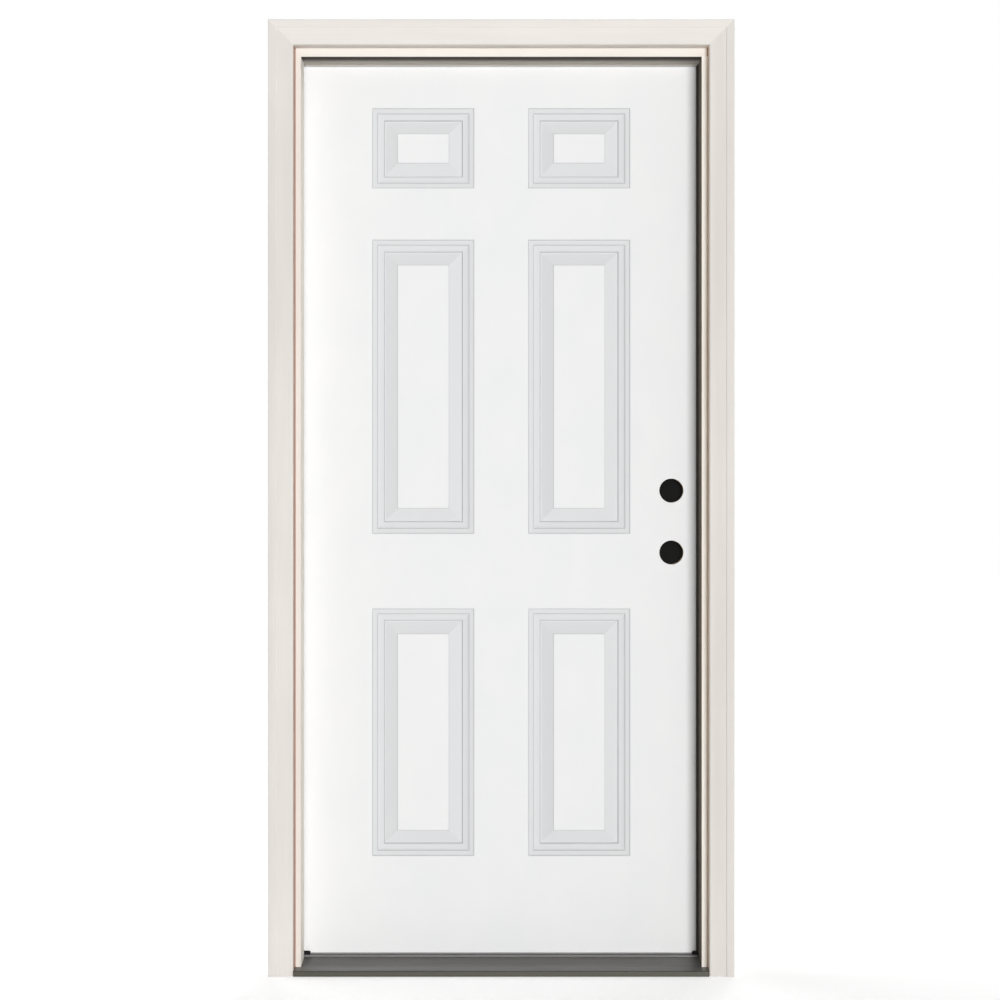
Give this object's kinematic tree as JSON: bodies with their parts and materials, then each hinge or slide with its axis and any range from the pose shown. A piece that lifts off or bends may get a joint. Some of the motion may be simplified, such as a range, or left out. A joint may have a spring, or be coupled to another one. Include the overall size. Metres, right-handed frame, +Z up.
{
  "type": "panelled front door with frame",
  "caption": "White panelled steel front door, hung on butt hinges in a timber frame with brickmould casing and a metal sill; bored for a lock and a deadbolt.",
  "frame": {"origin": "on the floor under the middle of the sill, level with the outer edge of the jambs", "axes": "+X to the right seen from outside, +Y into the building, +Z up"},
  "size_m": [1.0266, 0.1677, 2.1068],
  "materials": {
    "primed_steel": "satin",
    "core_timber": "matte",
    "rigid_foam": "matte",
    "primed_jamb": "matte",
    "primed_casing": "matte",
    "weatherstrip": "matte",
    "sill_metal": "satin",
    "sill_timber": "matte",
    "sill_composite": "matte",
    "sweep_vinyl": "matte",
    "pad_foam": "matte",
    "hinge_steel": "satin"
  },
  "bodies": {
    "frame": {"hinge_jamb": "primed_jamb", "strike_jamb": "primed_jamb", "head_jamb": "primed_jamb", "hinge_brickmould": "primed_casing", "strike_brickmould": "primed_casing", "head_brickmould": "primed_casing", "hinge_weatherstrip": "weatherstrip", "strike_weatherstrip": "weatherstrip", "head_weatherstrip": "weatherstrip", "sill_deck": "sill_metal", "sill_substrate": "sill_timber", "sill_cap": "sill_composite", "hinge_corner_pad": "pad_foam", "strike_corner_pad": "pad_foam", "top_frame_hinge_leaf": "hinge_steel", "middle_frame_hinge_leaf": "hinge_steel", "bottom_frame_hinge_leaf": "hinge_steel", "top_hinge_pin": "hinge_steel", "middle_hinge_pin": "hinge_steel", "bottom_hinge_pin": "hinge_steel", "frame_hinge_screws": "hinge_steel", "head_joint_screws": "hinge_steel", "sill_joint_screws": "hinge_steel"},
    "door": {"exterior_skin": "primed_steel", "interior_skin": "primed_steel", "hinge_stile": "core_timber", "lock_stile": "core_timber", "top_rail": "core_timber", "bottom_rail": "core_timber", "foam_core": "rigid_foam", "lock_block": "core_timber", "door_sweep": "sweep_vinyl", "top_door_hinge_leaf": "hinge_steel", "middle_door_hinge_leaf": "hinge_steel", "bottom_door_hinge_leaf": "hinge_steel", "door_hinge_screws": "hinge_steel"}
  },
  "joints": [
    {"name": "door_swing", "type": "hinge", "parent": "frame", "child": "door", "pos_m": [-0.4555, 0.1287, 1], "axis": [0, 0, 1], "range_deg": [0, 170]}
  ]
}
